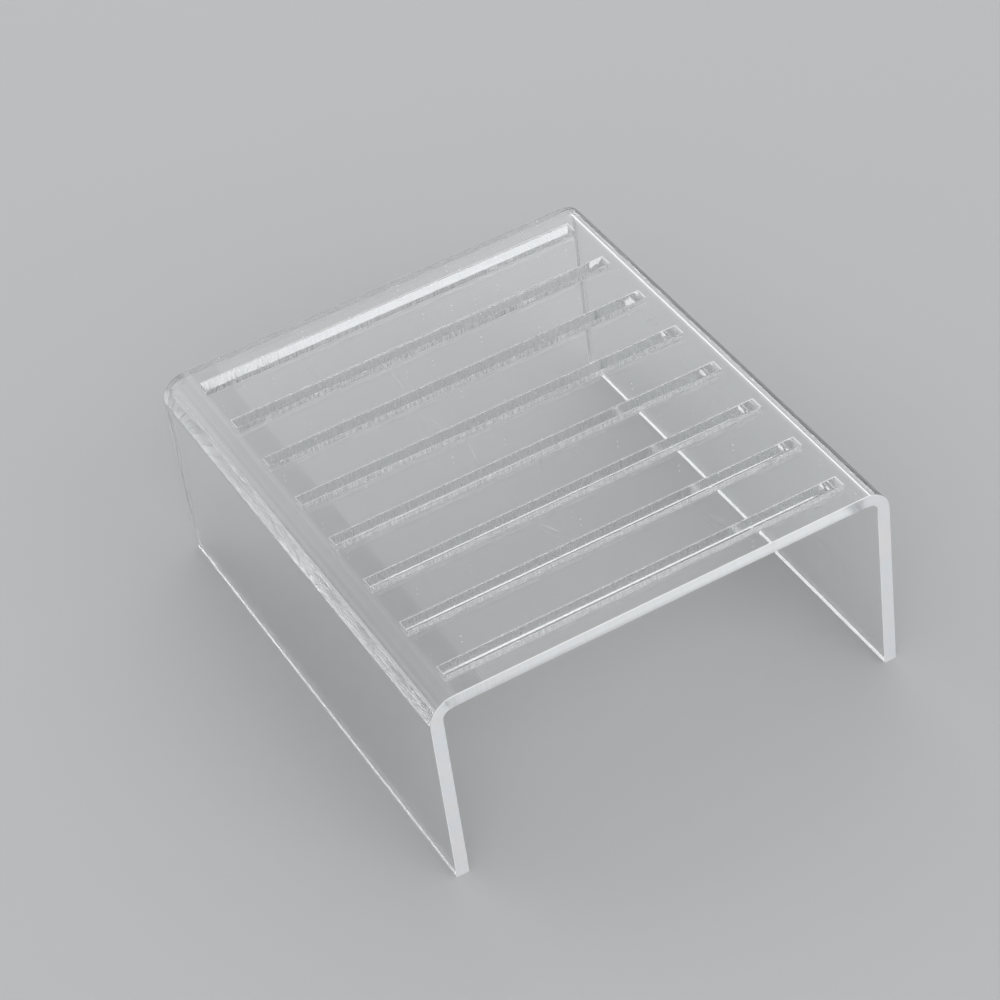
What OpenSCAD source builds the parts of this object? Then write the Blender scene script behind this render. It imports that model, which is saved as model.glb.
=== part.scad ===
// Clear display stand for small jewellery, standing on a table.
// One flat sheet of acrylic is cut to outline, slotted, and then bent twice
// with heat, so a flat top stands on two upright legs, open at front and back.
// X runs across the legs, Y runs from the front edge to the back edge, Z is up.
// The origin lies on the table, under the middle of the top.

/* [Sheet] */
// Thickness of the acrylic sheet
sheet_t = 3; // [2:0.1:5]
// Radius on the inside of each heat bend
bend_in_r = 2.8; // [1:0.1:8]

/* [Stand] */
// Width across the outer faces of the two legs
stand_w = 109; // [60:1:240]
// Depth from the front edge to the back edge
stand_d = 125; // [60:1:240]
// Height of the top face above the table
stand_h = 49.5; // [25:0.5:120]

/* [Slots] */
// Number of slots in the top, spread evenly from back to front
slot_n = 8; // [2:1:12]
// Width of a slot, measured from front to back
slot_w = 3.1; // [1:0.1:4]
// Flat left between the end of a slot and the start of the bend
slot_end_land = 1.5; // [0.5:0.1:10]
// Flat left between the outermost slots and the front and back edges
slot_edge_land = 6.2; // [2:0.1:10]

/* [Hidden] */
$fn = 128;

// The outside of a bend keeps the sheet's thickness all the way round
bend_out_r = bend_in_r + sheet_t;

// Each slot stops short of both bends
slot_len = stand_w - 2 * (bend_out_r + slot_end_land);

// Centre of the backmost slot, and the step to the next one
slot_y0 = stand_d / 2 - slot_edge_land - slot_w / 2;
slot_pitch = 2 * slot_y0 / (slot_n - 1);

// How far a cut runs past the face that it opens
cut_past = 1;

// Upright rectangle with its two upper corners rounded, drawn up from the line
// y = 0 and carried below it by foot
module arch(w, h, r, foot = 0) {
    translate([-w / 2, -foot])
        square([w, foot + h - r]);
    translate([r - w / 2, h - r])
        square([w - 2 * r, r]);
    for (side = [-1, 1])
        translate([side * (w / 2 - r), h - r])
            circle(r = r);
}

// Section of the bent sheet: the same thickness in the legs, bends and top
module bent_section() {
    difference() {
        arch(stand_w, stand_h, bend_out_r);
        arch(stand_w - 2 * sheet_t, stand_h - sheet_t, bend_in_r, cut_past);
    }
}

// One long, square-ended slot, cut straight down through the top
module slot_cut() {
    translate([-slot_len / 2, -slot_w / 2, stand_h - sheet_t - cut_past])
        cube([slot_len, slot_w, sheet_t + 2 * cut_past]);
}

// The whole stand: a single piece with a row of parallel slots
module slotted_riser() {
    color("lightcyan", 0.4)
    difference() {
        rotate([90, 0, 0])
            linear_extrude(height = stand_d, center = true)
                bent_section();
        for (i = [0:slot_n - 1])
            translate([0, slot_y0 - i * slot_pitch, 0])
                slot_cut();
    }
}

slotted_riser();
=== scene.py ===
"""Looks of the slotted clear riser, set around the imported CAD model. Metres, +X right, +Y back, +Z up.

The riser is made as the real one is: a flat sheet with its slots, cut edges and small chips is laid out,
and then folded over two bends into a bridge. A place in the flat sheet has three numbers: along runs over
the sheet from the left foot to the right one, deep runs from the front edge to the back one, and below is
the distance under the outer face.
"""

import math

import bpy
import numpy as np
from mathutils import Matrix, Vector, noise


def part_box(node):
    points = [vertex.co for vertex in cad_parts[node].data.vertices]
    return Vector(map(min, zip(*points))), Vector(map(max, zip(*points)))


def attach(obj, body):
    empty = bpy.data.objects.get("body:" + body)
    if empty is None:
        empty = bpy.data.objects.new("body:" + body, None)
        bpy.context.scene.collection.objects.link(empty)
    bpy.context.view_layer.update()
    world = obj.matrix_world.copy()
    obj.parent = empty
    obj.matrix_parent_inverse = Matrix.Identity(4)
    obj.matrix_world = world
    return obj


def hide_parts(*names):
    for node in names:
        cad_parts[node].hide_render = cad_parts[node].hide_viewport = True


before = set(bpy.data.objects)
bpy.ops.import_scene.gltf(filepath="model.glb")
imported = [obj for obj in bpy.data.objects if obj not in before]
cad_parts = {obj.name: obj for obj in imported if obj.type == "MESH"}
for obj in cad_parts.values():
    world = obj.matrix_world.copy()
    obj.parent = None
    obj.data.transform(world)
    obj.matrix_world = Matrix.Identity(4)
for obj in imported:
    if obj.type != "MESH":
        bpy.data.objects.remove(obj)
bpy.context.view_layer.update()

MM = 0.001

# Overall sizes, read from the CAD node
NODE = "slotted_riser"
node_low, node_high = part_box(NODE)
STAND_W = node_high.x - node_low.x
STAND_D = node_high.y - node_low.y
STAND_H = node_high.z

# Sizes repeated from the part's source
SHEET_T = 3.0 * MM
BEND_IN_R = 2.8 * MM
BEND_OUT_R = BEND_IN_R + SHEET_T
SLOT_N = 8
SLOT_W = 3.1 * MM
SLOT_END_LAND = 1.5 * MM
SLOT_EDGE_LAND = 6.2 * MM
SLOT_Y0 = STAND_D / 2 - SLOT_EDGE_LAND - SLOT_W / 2
SLOT_PITCH = 2 * SLOT_Y0 / (SLOT_N - 1)

# Lengths along the flat sheet
LEG_LEN = STAND_H - BEND_OUT_R
BEND_LEN = math.pi / 2 * BEND_OUT_R
TOP_LEN = STAND_W - 2 * BEND_OUT_R
LEFT_BEND = LEG_LEN
TOP_START = LEFT_BEND + BEND_LEN
TOP_END = TOP_START + TOP_LEN
RIGHT_LEG = TOP_END + BEND_LEN
SHEET_LEN = RIGHT_LEG + LEG_LEN
SLOT_START = TOP_START + SLOT_END_LAND
SLOT_END = TOP_END - SLOT_END_LAND

# Grid of the flat sheet: its steps, and the distance under which two lines are one
LEG_STEP = 0.9 * MM
BEND_STEPS = 40
LAND_STEP = 0.5 * MM
FINE_LEN = 24 * MM
FINE_STEP = 0.3 * MM
COARSE_STEP = 0.5 * MM
RIB_STEP = 1.8 * MM
BACK_STEP = 2.0 * MM
WALL_ROWS = 4
SAME_LINE = 0.002 * MM
ROUNDING = 0.001 * MM
SHARP_ANGLE = math.radians(9)

# Arrises: how far they reach over a face and down a cut wall
ARRIS = 0.16 * MM
ARRIS_DROP = 0.12 * MM
SLOT_ARRIS = 0.12 * MM
SLOT_DROP = 0.09 * MM
SLOT_FOOT_DROP = 0.05 * MM

# Chips in the arrises: how deep they go, and how large and how common they are
SLOT_CHIP_OVER = 0.30 * MM
SLOT_CHIP_DOWN = 0.22 * MM
OUTLINE_CHIP = 0.01 * MM
WIDEST_CHIP = 0.28 * MM
FOOT_CHIP_SHARE = 0.4
CHIP_SIZE = 1.1 * MM
CHIP_LEVEL = 0.45
CHIP_GAIN = 2.4
NICK_SIZE = 0.45 * MM
NICK_SHARE = 0.12

# Heated bends: a tighter inside with a faint wave and creases, and an outer face that is sunk a little
TIGHT_R = 2.0 * MM
INNER_WAVE = 0.0005 * MM
INNER_WAVE_SIZE = 14 * MM
CREASE = 0.0006 * MM
CREASE_SIZE = 1.6 * MM
CREASE_SQUEEZE = 2.0
CREASE_TURN = math.radians(38)
CREASE_SPREAD = math.radians(5)
SINK_REACH = 1.8 * MM
BEND_SINK = 0.10 * MM
SINK_WAVE = 0.005
SINK_WAVE_SIZE = 20 * MM

# Cut ends at the front and back: recessed on the flats, bulged in the bends, least under the outer face
END_RECESS = 0.20 * MM
END_ZONE = 1 * MM
BULGE_REACH = 2 * MM
BULGE_AT_FACE = 0.35

# Marks that the cutter left: on the outline, and on the slots, strongest at the rearmost slot's left end
OUTLINE_MARK = 0.004 * MM
OUTLINE_MARK_SIZE = 1.8 * MM
SLOT_MARK = 0.001 * MM
REAR_MARK = 0.045 * MM
OTHER_SHARE = 0.01
MARK_FADE = 11 * MM
MARK_SIZE = 0.8 * MM
MARK_CHANGE_DOWN = 0.15

# Seeds of the noise. A slot adds its number to the seed of its marks, and a grid line to those of chips
SEED_SHIFT = (13.7, -7.3, 5.1)
SEED_INNER_WAVE = 3
SEED_CREASE = 4
SEED_OUTER_WAVE = 5
SEED_OUTLINE_MARK = 11
SEED_SLOT_MARK = 20
SEED_CHIP_OVER = 31
SEED_PER_SIDE = 7
SEED_CHIP_TOP = 71
SEED_CHIP_FOOT = 91
SEED_NICK = 50

# Acrylic. Noise and specks are scaled from metres to millimetres first
ACRYLIC_IOR = 1.49
TO_MM = 1000.0
GRAIN_DEPTH = 0.02 * MM
ARRIS_GRAIN_DEPTH = 0.01 * MM

# Colours of the acrylic, from clear to milky
FACE_CLEAR = (0.975, 0.988, 0.988, 1)
FACE_MARKED = (0.98, 0.98, 0.98, 1)
ARRIS_COOL = (0.97, 0.98, 0.985, 1)
ARRIS_WARM = (0.995, 0.995, 0.99, 1)
# Milky tints, warm and cool in clouds. On the front of the legs and bends they are partly painted light, the
# mottled glow of light carried inside the sheet
MILK_AND_PAINTED_LIGHT_WARM = (0.85, 0.825, 0.825, 1)
MILK_AND_PAINTED_LIGHT_COOL = (0.79, 0.83, 0.86, 1)
FRONT_CLEAR = (0.90, 0.93, 0.94, 1)
BACK_CLEAR = (0.975, 0.99, 1.0, 1)
WALL_CLEAR = (0.96, 0.98, 0.98, 1)
WALL_MILKY = (0.985, 0.985, 0.98, 1)

# Milk: edges from clear to milky, which on the front is partly painted light, the back's legs and top, white
# arrises that are a painted highlight, and how much the feet lack
EDGE_MILK_AND_PAINTED_LIGHT = (0.02, 0.85)
BACK_MILK = (0.40, 0.0)
ARRIS_PAINTED_HIGHLIGHT = 0.9
FEET_CLEARED = 0.88

# Roughness, from clear to milky. The satin front is rougher at its left end than at its right one
FACE_ROUGH = (0.012, 0.45)
ARRIS_ROUGH = (0.50, 0.65)
EDGE_ROUGH = (0.04, 0.40)
WALL_ROUGH = (0.03, 0.40)
SATIN_ROUGH = (0.60, 0.35)
FROSTED_ROUGH = 0.95
FEET_ROUGH = 0.16

# Share of the light that goes through, from clear to milky
FACE_THROUGH = (1.0, 0.05)
ARRIS_THROUGH = (1.0, 0.0)
CUT_THROUGH = (0.97, 0.0)

# Specks and hairlines. Scales are cells to a millimetre, and sizes are shares of a cell
SPECK_SCALE = 0.16
SPECK_SIZES = (0.008, 0.03)
HAIR_STRETCH = (0.22, 0.012, 0.0)
HAIR_WIDTH = 0.0035
HAIR_LEVEL = 0.5
HAIR_PATCHES = 0.06

# Camera, solved from the edges of the stand in the photo
CAMERA_PLACE = (-0.21922, -0.48196, 0.49559)
CAMERA_HEADING = math.radians(23.985)
CAMERA_PITCH = math.radians(41.273)
CAMERA_ROLL = math.radians(8.469)
CAMERA_LENS = 116.71
CAMERA_RANGE = (0.01, 40.0)
SENSOR = 36.0

# Floor, and the light from all round
FLOOR_HALF = 8.0
FLOOR_COLOUR = (0.55, 0.555, 0.56, 1)
FLOOR_ROUGH = 0.7
FLOOR_SPECULAR = 0.2
WORLD_LEVEL = 0.62
WORLD_COOL = 1.02

# Soft lamps: name, place, the point that they face, width and length, and how bright their face is
LAMPS = [
    ("top_box", (0.70, 0.85, 0.72), (0.70, 0.85, 0.0), (0.95, 1.2), 0.45),
    ("slim_box", (0.145, 0.85, 0.72), (0.145, 0.85, 0.0), (0.10, 1.2), 0.75),
    ("left_box", (-0.41, 0.75, 0.72), (-0.41, 0.75, 0.0), (0.30, 1.0), 0.30),
    ("back_strip", (0.40, 1.25, 0.36), (0.3, 0, 0.04), (3.0, 0.45), 0.45),
    ("left_panel", (-0.85, 0.95, 0.48), (0, 0, 0.04), (0.9, 0.6), 0.7),
    ("front_panel", (-0.15, -1.15, 0.92), (0, 0, 0.03), (2.4, 1.1), 1.1),
]


def spread(start, end, step):
    """Even values from start to end, both included, about one step apart."""
    return list(np.linspace(start, end, max(1, round((end - start) / step)) + 1))


def unique_sorted(values):
    """Values in order, with those that fall together taken once."""
    kept = []
    for value in sorted(values):
        if not kept or value - kept[-1] > SAME_LINE:
            kept.append(value)
    return np.array(kept)


def slot_centres():
    """Places of the slots from front to back."""
    return [-SLOT_Y0 + i * SLOT_PITCH for i in range(SLOT_N)]


def lines_along():
    """Grid lines across the sheet: close in the bends and between the ends of the slots."""
    lines = [0, SHEET_LEN]
    lines += spread(ARRIS, LEFT_BEND, LEG_STEP)
    lines += spread(LEFT_BEND, TOP_START, BEND_LEN / BEND_STEPS)
    lines += [SLOT_START - ARRIS, SLOT_START]
    lines += spread(TOP_START, SLOT_START - ARRIS, LAND_STEP)
    lines += spread(SLOT_START, SLOT_START + FINE_LEN, FINE_STEP)
    lines += spread(SLOT_START + FINE_LEN, SLOT_END, COARSE_STEP)
    lines += spread(SLOT_END + ARRIS, TOP_END, LAND_STEP)
    lines += spread(TOP_END, RIGHT_LEG, BEND_LEN / BEND_STEPS)
    lines += spread(RIGHT_LEG, SHEET_LEN - ARRIS, LEG_STEP)
    return unique_sorted(lines)


def lines_deep():
    """Grid lines from front to back: a pair at each edge of a slot, for its arris."""
    lines = [-STAND_D / 2, STAND_D / 2]
    start = -STAND_D / 2 + ARRIS
    for centre in slot_centres():
        low = centre - SLOT_W / 2
        high = centre + SLOT_W / 2
        lines += spread(start, low - SLOT_ARRIS, RIB_STEP)
        lines += [low, centre, high]
        start = high + SLOT_ARRIS
    lines += spread(start, STAND_D / 2 - ARRIS, BACK_STEP)
    return unique_sorted(lines)


def grain(seed, u, v=0.0, size=1.0 * MM):
    """Smooth noise from about -1 to 1, the same on each run."""
    shift_u, shift_v, shift_w = SEED_SHIFT
    return noise.noise(Vector((u / size + shift_u * seed, v / size + shift_v * seed, shift_w * seed)))


def fold(along, deep, below):
    """Takes a place in the flat sheet to its place in the folded one."""
    if along <= LEFT_BEND:
        out_x, out_z = -1.0, 0.0
        x, z = -STAND_W / 2, along
    elif along < TOP_START:
        turn = (along - LEFT_BEND) / BEND_OUT_R
        out_x, out_z = -math.cos(turn), math.sin(turn)
        x = -STAND_W / 2 + BEND_OUT_R * (1 + out_x)
        z = STAND_H - BEND_OUT_R * (1 - out_z)
    elif along <= TOP_END:
        out_x, out_z = 0.0, 1.0
        x, z = -STAND_W / 2 + BEND_OUT_R + along - TOP_START, STAND_H
    elif along < RIGHT_LEG:
        turn = (along - TOP_END) / BEND_OUT_R
        out_x, out_z = math.sin(turn), math.cos(turn)
        x = STAND_W / 2 - BEND_OUT_R * (1 - out_x)
        z = STAND_H - BEND_OUT_R * (1 - out_z)
    else:
        out_x, out_z = 1.0, 0.0
        x, z = STAND_W / 2, SHEET_LEN - along
    return (x - below * out_x, deep, z - below * out_z)


def bend_share(along, outside):
    """1 in the middle of a bend, falling to 0 at a distance outside it."""
    best = 0.0
    for start in (LEFT_BEND, TOP_END):
        middle = start + BEND_LEN / 2
        reach = BEND_LEN / 2 + outside
        near = max(0.0, 1 - abs(along - middle) / reach)
        best = max(best, near * near * (3 - 2 * near))
    return best


def from_leg(along):
    """How far a place in a bend has turned from its leg, in radians, or None outside the bends."""
    left = (along - LEFT_BEND) / BEND_OUT_R
    right = (RIGHT_LEG - along) / BEND_OUT_R
    for turn in (left, right):
        if 0 < turn < math.pi / 2:
            return turn
    return None


def bend_thinning(along):
    """How much thinner the sheet is in a heated bend, whose inside is tighter than its outside."""
    turn = from_leg(along)
    if turn is None:
        return 0.0
    to_centre = BEND_IN_R - TIGHT_R
    arc_start = math.atan2(to_centre, BEND_IN_R)
    from_flat = min(turn, math.pi / 2 - turn)
    if from_flat < arc_start:
        return BEND_IN_R / math.cos(from_flat) - BEND_IN_R
    both = to_centre * (math.sin(turn) + math.cos(turn))
    return both + math.sqrt(both**2 - 2 * to_centre**2 + TIGHT_R**2) - BEND_IN_R


def inner_wave(along, deep):
    """How far the inner face lies inside the true sheet: nothing on flats, a little in the bends."""
    turn = from_leg(along)
    if turn is None:
        return 0.0
    wave = 0.5 + 0.5 * grain(SEED_INNER_WAVE, along, deep, INNER_WAVE_SIZE)
    crease = max(0.0, grain(SEED_CREASE, along * CREASE_SQUEEZE, deep, CREASE_SIZE))
    creased = math.exp(-(((turn - CREASE_TURN) / CREASE_SPREAD) ** 2))
    return bend_thinning(along) + INNER_WAVE * wave * bend_share(along, 0.0) + CREASE * crease * creased


def outer_wave(along, deep):
    """How far the outer face lies inside the true sheet: a little in and beside the bends."""
    wave = 1 - SINK_WAVE + SINK_WAVE * grain(SEED_OUTER_WAVE, along, deep, SINK_WAVE_SIZE)
    return bend_share(along, SINK_REACH) * BEND_SINK * wave


def cut_wave(along, deep, below, slot):
    """How far a cut wall lies behind its true line: the marks that the cutter left."""
    run = along + deep
    if slot is None:
        return OUTLINE_MARK * (1 + grain(SEED_OUTLINE_MARK, run, below, OUTLINE_MARK_SIZE))
    start = along - SLOT_START
    share = 1.0 if slot == SLOT_N - 1 else OTHER_SHARE
    rough = SLOT_MARK + REAR_MARK * share * math.exp(-max(0.0, start) / MARK_FADE)
    return rough * (1 + grain(SEED_SLOT_MARK + slot, run, below * MARK_CHANGE_DOWN, MARK_SIZE))


def chip(seed, run, deepest):
    """Extra width of an arris where a chip has left it, mostly nothing."""
    spot = grain(seed, run, 0.0, CHIP_SIZE)
    nick = grain(seed + SEED_NICK, run, 0.0, NICK_SIZE)
    return (max(0.0, spot - CHIP_LEVEL) * CHIP_GAIN + (0.5 + 0.5 * nick) * NICK_SHARE) * deepest


class FlatSheet:
    """The flat sheet as a grid of cells, some of them cut away, with its faces collected for one mesh."""

    FACE, OUTER_ARRIS, NEAR_ARRIS, FAR_ARRIS, EDGE, FAR_WALL, NEAR_WALL = range(7)

    def __init__(self):
        self.along = lines_along()
        self.deep = lines_deep()
        self.places = []
        self.points = []
        self.faces = []
        self.zones = []
        self.solid = self._solid_cells()
        self.slot_of_row = self._slot_rows()
        self._make_nodes()
        self._make_faces()

    def _slot_rows(self):
        """The slot whose wall each grid line from front to back lies on, or None."""
        rows = []
        for deep in self.deep:
            near = [
                k
                for k, centre in enumerate(slot_centres())
                if abs(deep - centre) <= SLOT_W / 2 + ROUNDING
            ]
            rows.append(near[0] if near else None)
        return rows

    def _solid_cells(self):
        """True for each cell that is left when the slots are cut."""
        mid_along = (self.along[:-1] + self.along[1:]) / 2
        mid_deep = (self.deep[:-1] + self.deep[1:]) / 2
        in_length = (mid_along > SLOT_START) & (mid_along < SLOT_END)
        in_slot = np.zeros(len(mid_deep), bool)
        for centre in slot_centres():
            in_slot |= np.abs(mid_deep - centre) < SLOT_W / 2
        return ~np.outer(in_length, in_slot)

    def _cell(self, i, j):
        """Whether a cell exists and is solid."""
        inside = 0 <= i < self.solid.shape[0] and 0 <= j < self.solid.shape[1]
        return bool(inside and self.solid[i, j])

    def _inward(self, i, j):
        """Direction into the solid at a node on a border, None inside, False in a slot."""
        cells = [(-1, -1), (0, -1), (0, 0), (-1, 0)]
        there = [self._cell(i + a, j + b) for a, b in cells]
        if all(there):
            return None
        if not any(there):
            return False
        a = sum((1 if c[0] == 0 else -1) for c, t in zip(cells, there) if t)
        b = sum((1 if c[1] == 0 else -1) for c, t in zip(cells, there) if t)
        return (int(np.sign(a)), int(np.sign(b)))

    def _slot_at(self, i, j):
        """The slot whose edge a node on a border lies on, or None on the outline."""
        slot = self.slot_of_row[j]
        in_length = SLOT_START - ARRIS < self.along[i] < SLOT_END + ARRIS
        return slot if slot is not None and in_length else None

    def _add(self, along, deep, below):
        """One vertex, with its place in the flat sheet kept for the materials."""
        recess = 0.0
        if abs(deep) > STAND_D / 2 - END_ZONE:
            to_inside = BULGE_AT_FACE + (1 - BULGE_AT_FACE) * below / SHEET_T
            recess = END_RECESS * (1 - bend_share(along, BULGE_REACH) * to_inside)
        self.places.append((along, deep, below))
        self.points.append(fold(along, deep - math.copysign(recess, deep), below))
        return len(self.points) - 1

    def _make_nodes(self):
        """Vertices of both faces and of the cut walls."""
        self.inward = {}
        self.node = {}
        shifts = {}
        for i in range(len(self.along)):
            for j in range(len(self.deep)):
                way = self._inward(i, j)
                self.inward[i, j] = way
                if way:
                    self._shift_neighbour(shifts, i, j, way)
        for (i, j), way in self.inward.items():
            along, deep = float(self.along[i]), float(self.deep[j])
            if way is None:
                for side in (0, 1):
                    extra = shifts.get((i, j, side), (0.0, 0.0))
                    a, b = along + extra[0], deep + extra[1]
                    below = SHEET_T - inner_wave(a, b) if side else outer_wave(a, b)
                    self.node[i, j, side] = self._add(a, b, below)
            elif way:
                self._add_wall(i, j, along, deep, way)

    def _shift_neighbour(self, shifts, i, j, way):
        """Moves the inner line of an arris further in where the edge is chipped."""
        run = float(self.along[i] + self.deep[j])
        deepest = OUTLINE_CHIP if self._slot_at(i, j) is None else SLOT_CHIP_OVER
        for side in (0, 1):
            seed = SEED_CHIP_OVER + side * SEED_PER_SIDE + j
            extra = min(chip(seed, run, deepest), WIDEST_CHIP)
            shifts[i + way[0], j + way[1], side] = (way[0] * extra, way[1] * extra)

    def _add_wall(self, i, j, along, deep, way):
        """The column of vertices down a cut wall."""
        run = along + deep
        slot = self._slot_at(i, j)
        if slot is None:
            deepest, top, drop = OUTLINE_CHIP, ARRIS_DROP, ARRIS_DROP
        else:
            deepest, top, drop = SLOT_CHIP_DOWN, SLOT_DROP, SLOT_FOOT_DROP
        top += chip(SEED_CHIP_TOP + j, run, deepest)
        drop += chip(SEED_CHIP_FOOT + j, run, deepest * FOOT_CHIP_SHARE)
        foot = SHEET_T - bend_thinning(along) - drop
        column = []
        for row in range(WALL_ROWS + 1):
            below = top + (foot - top) * row / WALL_ROWS
            back = cut_wave(along, deep, below, slot)
            column.append(self._add(along + way[0] * back, deep + way[1] * back, below))
        self.node[i, j, "wall"] = column
        self.node[i, j, 0] = column[0]
        self.node[i, j, 1] = column[-1]

    def _face(self, corners, zone):
        """One quad, with its kind of surface."""
        self.faces.append(corners)
        self.zones.append(zone)

    def _make_faces(self):
        """Quads of both faces, the arrises round every cut, and the cut walls."""
        for i, j in zip(*np.nonzero(self.solid)):
            i, j = int(i), int(j)
            ring = [(i, j), (i + 1, j), (i + 1, j + 1), (i, j + 1)]
            beside = [(i, j - 1), (i + 1, j), (i, j + 1), (i - 1, j)]
            zone = self._face_zone(ring)
            self._face([self.node[n + (0,)] for n in ring], zone)
            self._face([self.node[n + (1,)] for n in reversed(ring)], zone)
            for k in range(4):
                if not self._cell(*beside[k]):
                    self._wall(ring[k], ring[(k + 1) % 4])

    def _face_zone(self, ring):
        """Whether a cell is plain sheet or part of an arris, and which."""
        border = [n for n in ring if self.inward[n]]
        if not border:
            return self.FACE
        if any(self.slot_of_row[n[1]] is None for n in border) or self._is_outer(border[0]):
            return self.OUTER_ARRIS
        return self.FAR_ARRIS if all(self.inward[n][1] > 0 for n in border) else self.NEAR_ARRIS

    def _is_outer(self, node):
        """Whether a node lies on the outline of the sheet."""
        return node[0] in (0, len(self.along) - 1) or node[1] in (0, len(self.deep) - 1)

    def _wall(self, start, end):
        """Quads down one step of a cut wall."""
        inside = 0 < start[0] < len(self.along) - 1 and 0 < start[1] < len(self.deep) - 1
        faces_back = end[0] < start[0]
        zone = (self.NEAR_WALL if faces_back else self.FAR_WALL) if inside else self.EDGE
        a, b = self.node[start + ("wall",)], self.node[end + ("wall",)]
        for row in range(WALL_ROWS):
            self._face([b[row], a[row], a[row + 1], b[row + 1]], zone)


def make_riser():
    """The folded sheet as one closed mesh, with its place in the flat sheet as an attribute."""
    sheet = FlatSheet()
    mesh = bpy.data.meshes.new("folded_riser")
    mesh.from_pydata(sheet.points, [], sheet.faces)
    mesh.update()
    place = mesh.attributes.new("flat_place", "FLOAT_VECTOR", "POINT")
    place.data.foreach_set("vector", np.array(sheet.places, np.float32).ravel())
    mesh.polygons.foreach_set("material_index", np.array(sheet.zones, np.int32))
    mesh.polygons.foreach_set("use_smooth", np.ones(len(sheet.faces), bool))
    mesh.set_sharp_from_angle(angle=SHARP_ANGLE)
    riser = bpy.data.objects.new("folded_riser", mesh)
    bpy.context.scene.collection.objects.link(riser)
    return riser


class Nodes:
    """A short way to write a material's nodes."""

    def __init__(self, name):
        self.material = bpy.data.materials.new(name)
        self.material.use_nodes = True
        self.tree = self.material.node_tree
        self.shader = self.tree.nodes["Principled BSDF"]

    def set(self, **values):
        """Constants on the shader's own sockets, with _ for the spaces in their names."""
        for name, value in values.items():
            self.shader.inputs[name.replace("_", " ")].default_value = value

    def link(self, output, name):
        """Links an output to one of the shader's sockets."""
        self.tree.links.new(output, self.shader.inputs[name])

    def feed(self, socket, value):
        """Links an output to a socket, or sets the socket to a constant."""
        if isinstance(value, bpy.types.NodeSocket):
            self.tree.links.new(value, socket)
        else:
            socket.default_value = value

    def node(self, kind, **inputs):
        """A node whose inputs are constants or linked outputs, given by name or as _0, _1 and so on."""
        made = self.tree.nodes.new(kind)
        for key, value in inputs.items():
            numbered = key[1:].isdigit()
            self.feed(made.inputs[int(key[1:]) if numbered else key.replace("_", " ")], value)
        return made

    def math(self, operation, a, b=0.0, clamp=False):
        """One sum on two numbers."""
        made = self.node("ShaderNodeMath", _0=a, _1=b)
        made.operation = operation
        made.use_clamp = clamp
        return made.outputs[0]

    def times(self, a, b):
        """Product of two numbers."""
        return self.math("MULTIPLY", a, b)

    def most(self, a, b):
        """Larger of two numbers."""
        return self.math("MAXIMUM", a, b)

    def stretch(self, vector, scale):
        """Vector times a scale on each axis."""
        made = self.node("ShaderNodeVectorMath", _0=vector, _1=scale)
        made.operation = "MULTIPLY"
        return made.outputs[0]

    def flat_place(self):
        """Place in the flat sheet: along, deep and below, in metres."""
        attribute = self.tree.nodes.new("ShaderNodeAttribute")
        attribute.attribute_name = "flat_place"
        return attribute.outputs["Vector"]

    def place_parts(self):
        """Along, deep and below as three outputs."""
        return self.node("ShaderNodeSeparateXYZ", Vector=self.flat_place()).outputs

    def along_edge(self, below_share):
        """Millimetres along any cut edge, and a share of those below the outer face, as a vector."""
        along, deep, below = self.place_parts()
        run = self.times(self.math("ADD", along, deep), TO_MM)
        down = self.times(below, below_share * TO_MM)
        return self.node("ShaderNodeCombineXYZ", _0=run, _1=down).outputs[0]

    def noise(self, vector, scale, detail=2.0, roughness=0.5):
        """Soft noise from 0 to 1."""
        made = self.node(
            "ShaderNodeTexNoise", Vector=vector, Scale=scale, Detail=detail, Roughness=roughness
        )
        return made.outputs["Fac"]

    def range(self, value, low, high, to_low=0.0, to_high=1.0):
        """Maps low..high to to_low..to_high, and no further."""
        made = self.node("ShaderNodeMapRange", _0=value, _1=low, _2=high, _3=to_low, _4=to_high)
        made.clamp = True
        return made.outputs[0]

    def grade(self, share, ends):
        """Value between two ends, for a share from 0 to 1."""
        return self.range(share, 0.0, 1.0, *ends)

    def mix(self, share, a, b):
        """Colour between a and b."""
        made = self.tree.nodes.new("ShaderNodeMix")
        made.data_type = "RGBA"
        for number, value in ((0, share), (6, a), (7, b)):
            self.feed(made.inputs[number], value)
        return made.outputs[2]

    def bump(self, height, distance, strength):
        """Fine relief on the surface."""
        made = self.node("ShaderNodeBump", Height=height, Distance=distance, Strength=strength)
        self.link(made.outputs[0], "Normal")


def clear_face():
    """Polished sheet: clear, with a few hairlines and specks on the top and the right leg."""
    n = Nodes("clear_face")
    n.set(IOR=ACRYLIC_IOR, Specular_IOR_Level=0.5)
    place = n.stretch(n.flat_place(), (TO_MM, TO_MM, 0.0))
    cell = n.node("ShaderNodeTexVoronoi", Vector=place, Scale=SPECK_SCALE)
    cell.voronoi_dimensions = "2D"
    draw = n.node("ShaderNodeSeparateColor", Color=cell.outputs["Color"]).outputs[0]
    size = n.range(draw, 0.70, 1.0, *SPECK_SIZES)
    speck = n.math("LESS_THAN", cell.outputs["Distance"], size)
    hair = n.node("ShaderNodeTexVoronoi", Vector=n.stretch(place, HAIR_STRETCH), Scale=1.0)
    hair.feature = "DISTANCE_TO_EDGE"
    line = n.range(hair.outputs["Distance"], 0.0, HAIR_WIDTH, 1.0, 0.0)
    patch = n.range(n.noise(place, HAIR_PATCHES), 0.56, 0.62)
    hairline = n.times(n.times(line, patch), HAIR_LEVEL)
    along = n.place_parts()[0]
    on_top = n.times(n.range(along, TOP_START, SLOT_START), n.range(along, TOP_END, SLOT_END))
    on_right_leg = n.range(along, RIGHT_LEG + 4 * MM, RIGHT_LEG + 8 * MM)
    marks = n.times(n.math("MAXIMUM", speck, hairline, True), n.most(on_top, on_right_leg))
    n.link(n.mix(marks, FACE_CLEAR, FACE_MARKED), "Base Color")
    n.link(n.grade(marks, FACE_ROUGH), "Roughness")
    n.link(n.grade(marks, FACE_THROUGH), "Transmission Weight")
    return n.material


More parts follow.
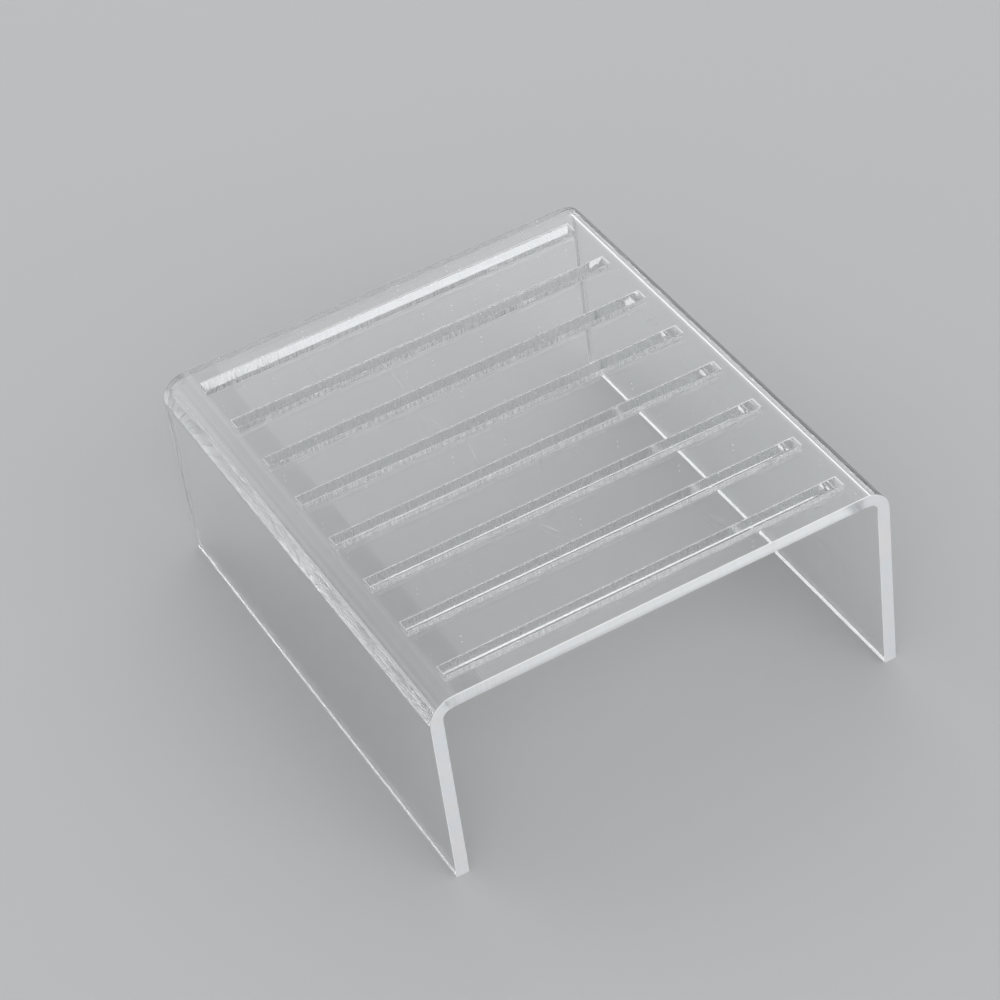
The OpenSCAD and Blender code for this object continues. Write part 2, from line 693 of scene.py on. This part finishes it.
def arris_face(name, grain_scale, clearest, milkiest, outline=False):
    """The narrow line round every cut: rough, and white as a painted highlight at the front and the feet, or
    at the right ends.
    """
    n = Nodes(name)
    n.set(IOR=ACRYLIC_IOR, Specular_IOR_Level=0.0)
    run = n.along_edge(0.3)
    patch = n.noise(run, grain_scale, 3.0, 0.6)
    along, deep = n.place_parts()[:2]
    # Painted highlight: the arris is made white at the front and the feet, or near the slots' right ends,
    # for bright lines of light along these edges
    if outline:
        front = n.range(deep, 1 * MM - STAND_D / 2, 0.5 * MM - STAND_D / 2)
        left_foot = n.range(along, 2 * ARRIS, 1.5 * ARRIS)
        right_foot = n.range(along, SHEET_LEN - 2 * ARRIS, SHEET_LEN - 1.5 * ARRIS)
        white = n.most(front, n.most(left_foot, right_foot))
    else:
        white = n.range(along, SLOT_END - 7 * MM, SLOT_END - 1 * MM)
    milk_and_painted_light = n.most(n.range(patch, 0.38, 0.62, clearest, milkiest), n.times(white, ARRIS_PAINTED_HIGHLIGHT))
    n.link(n.mix(patch, ARRIS_COOL, ARRIS_WARM), "Base Color")
    n.link(n.range(patch, 0.3, 0.7, *ARRIS_ROUGH), "Roughness")
    n.link(n.grade(milk_and_painted_light, ARRIS_THROUGH), "Transmission Weight")
    n.bump(n.noise(run, 3.0), ARRIS_GRAIN_DEPTH, 0.3)
    return n.material


def cut_edge():
    """Outer edges of the sheet.

    The front is milky on the legs and the bends, but for the upper part of the left bend. That milk and its
    mottled warm and cool tint are partly the cut's own and partly painted light, the glow of light carried
    inside the sheet. On the top it is satin, with milky streaks towards the bends. The back is thinly milky
    on the legs and frosted on the top, and the feet are almost clear.
    """
    n = Nodes("milky_cut_edge_with_painted_light")
    n.set(IOR=ACRYLIC_IOR, Specular_IOR_Level=0.0)
    lines = n.noise(n.along_edge(0.06), 1.1, 3.0, 0.6)
    cloud = n.noise(n.along_edge(0.5), 0.10)
    along, deep = n.place_parts()[:2]

    mid_bend = LEFT_BEND + 0.6 * BEND_LEN
    on_back = n.range(deep, 0.0, 1 * MM)
    on_front = n.math("SUBTRACT", 1.0, on_back)
    on_top = n.times(n.range(along, mid_bend, TOP_START), n.range(along, RIGHT_LEG, TOP_END))
    feet = n.math("ADD", n.range(along, ARRIS, 0.0), n.range(along, SHEET_LEN - ARRIS, SHEET_LEN), True)

    # Painted light, in part: the front of the legs and bends is made milky with a mottled tint that stands
    # for light carried inside the sheet
    left = n.range(along, mid_bend, mid_bend + 2 * MM, 1.0, 0.0)
    right = n.range(along, TOP_END - 1.2 * MM, TOP_END, 0.0, 1.0)
    back = n.times(on_back, n.grade(on_top, BACK_MILK))
    solid = n.most(n.times(n.most(left, right), on_front), back)
    near_left = n.range(along, TOP_START - 2 * MM, TOP_START + 20 * MM, 1.0, 0.30)
    near_right = n.range(along, TOP_END - 55 * MM, TOP_END - 10 * MM, 0.0, 0.5)
    streaked = n.times(n.most(near_left, near_right), on_front)
    streaks = n.times(n.range(lines, 0.40, 0.66), streaked)
    milk_and_painted_light = n.most(n.grade(solid, EDGE_MILK_AND_PAINTED_LIGHT), streaks)
    milk_and_painted_light = n.times(milk_and_painted_light, n.math("SUBTRACT", 1.0, n.times(feet, FEET_CLEARED)))

    tint = n.mix(n.range(cloud, 0.35, 0.65), MILK_AND_PAINTED_LIGHT_WARM, MILK_AND_PAINTED_LIGHT_COOL)
    plain = n.mix(on_back, FRONT_CLEAR, BACK_CLEAR)
    n.link(n.mix(milk_and_painted_light, plain, tint), "Base Color")
    satin = n.times(n.times(on_front, on_top), n.range(along, TOP_START, TOP_END, *SATIN_ROUGH))
    satin = n.most(satin, n.times(feet, FEET_ROUGH))
    frosted = n.times(n.times(on_back, on_top), FROSTED_ROUGH)
    rough = n.most(n.most(n.grade(milk_and_painted_light, EDGE_ROUGH), satin), frosted)
    n.link(rough, "Roughness")
    n.link(n.grade(milk_and_painted_light, CUT_THROUGH), "Transmission Weight")
    n.bump(lines, GRAIN_DEPTH, 0.15)
    return n.material


def slot_wall(name, scale, clearest, milkiest, relief):
    """Walls of the slots: faint upright lines, milkier at the rearmost slot's left, and milky white at all
    right ends, which is a painted highlight.
    """
    n = Nodes(name)
    n.set(IOR=ACRYLIC_IOR, Specular_IOR_Level=0.0)
    lines = n.noise(n.along_edge(0.04), scale, 3.0, 0.6)
    along, deep = n.place_parts()[:2]
    left = n.range(along, SLOT_START, SLOT_START + 30 * MM, 1.0, 0.0)
    rearmost = n.range(deep, SLOT_Y0 - SLOT_PITCH / 2, SLOT_Y0 - SLOT_PITCH / 3)
    strongest = n.grade(n.times(left, rearmost), (milkiest, 1.0))
    # Painted highlight: the end wall at each slot's right end is made milky white to stand for its bright
    # light
    painted_highlight_right_end = n.range(along, SLOT_END - 0.1 * MM, SLOT_END - 0.02 * MM)
    milk_and_painted_light = n.most(n.times(n.range(lines, 0.36, 0.64, clearest, 1.0), strongest), painted_highlight_right_end)
    n.link(n.mix(milk_and_painted_light, WALL_CLEAR, WALL_MILKY), "Base Color")
    n.link(n.grade(milk_and_painted_light, WALL_ROUGH), "Roughness")
    n.link(n.grade(milk_and_painted_light, CUT_THROUGH), "Transmission Weight")
    n.bump(lines, GRAIN_DEPTH, relief)
    return n.material


def make_floor():
    """A wide plain pale floor."""
    mesh = bpy.data.meshes.new("floor")
    corners = [(x * FLOOR_HALF, y * FLOOR_HALF, 0) for x, y in ((-1, -1), (1, -1), (1, 1), (-1, 1))]
    mesh.from_pydata(corners, [], [(0, 1, 2, 3)])
    n = Nodes("pale_floor")
    n.set(Base_Color=FLOOR_COLOUR, Roughness=FLOOR_ROUGH, Specular_IOR_Level=FLOOR_SPECULAR)
    mesh.materials.append(n.material)
    floor = bpy.data.objects.new("floor", mesh)
    bpy.context.scene.collection.objects.link(floor)


def make_world():
    """Dim even light from all round."""
    world = bpy.data.worlds.new("studio")
    world.use_nodes = True
    background = world.node_tree.nodes["Background"]
    background.inputs["Color"].default_value = (WORLD_LEVEL, WORLD_LEVEL, WORLD_LEVEL * WORLD_COOL, 1)
    background.inputs["Strength"].default_value = 1.0
    bpy.context.scene.world = world


def softbox(name, place, aim, size, glow):
    """A flat soft lamp at a place, turned to a point. glow is how bright its face is, with white as 1."""
    lamp = bpy.data.lights.new(name, "AREA")
    lamp.shape = "RECTANGLE"
    lamp.size, lamp.size_y = size
    lamp.energy = glow * math.pi * size[0] * size[1]
    box = bpy.data.objects.new(name, lamp)
    box.location = place
    way = Vector(aim) - Vector(place)
    box.rotation_mode = "QUATERNION"
    box.rotation_quaternion = way.to_track_quat("-Z", "Y")
    box.visible_camera = False
    bpy.context.scene.collection.objects.link(box)


def make_camera():
    """The photo's camera."""
    data = bpy.data.cameras.new("camera")
    data.lens = CAMERA_LENS
    data.sensor_width = SENSOR
    data.clip_start, data.clip_end = CAMERA_RANGE
    camera = bpy.data.objects.new("camera", data)
    turn = Matrix.Rotation(-CAMERA_HEADING, 4, "Z")
    turn = turn @ Matrix.Rotation(math.pi / 2 - CAMERA_PITCH, 4, "X")
    turn = turn @ Matrix.Rotation(-CAMERA_ROLL, 4, "Z")
    camera.matrix_world = Matrix.Translation(CAMERA_PLACE) @ turn
    bpy.context.scene.collection.objects.link(camera)
    bpy.context.scene.camera = camera


def set_light_paths():
    """Enough bounces for light that runs inside the sheet."""
    cycles = bpy.context.scene.cycles
    cycles.max_bounces = 64
    cycles.diffuse_bounces = 6
    cycles.glossy_bounces = 64
    cycles.transmission_bounces = 32


make_camera()
make_floor()
riser = make_riser()
# In the order of the surfaces in FlatSheet
looks = [
    clear_face(),
    arris_face("outer_arris", 0.3, 0.0, 0.08, outline=True),
    arris_face("chipped_arris", 0.8, 0.62, 0.95),
    arris_face("dashed_arris", 1.4, 0.10, 0.90),
    cut_edge(),
    slot_wall("slot_far_wall", 1.4, 0.0, 0.05, 0.04),
    slot_wall("slot_near_wall", 3.0, 0.20, 0.29, 0.15),
]
for material in looks:
    riser.data.materials.append(material)
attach(riser, "root")
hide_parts(NODE)

make_world()
for lamp in LAMPS:
    softbox(*lamp)
set_light_paths()
bpy.context.scene.view_settings.view_transform = "Standard"
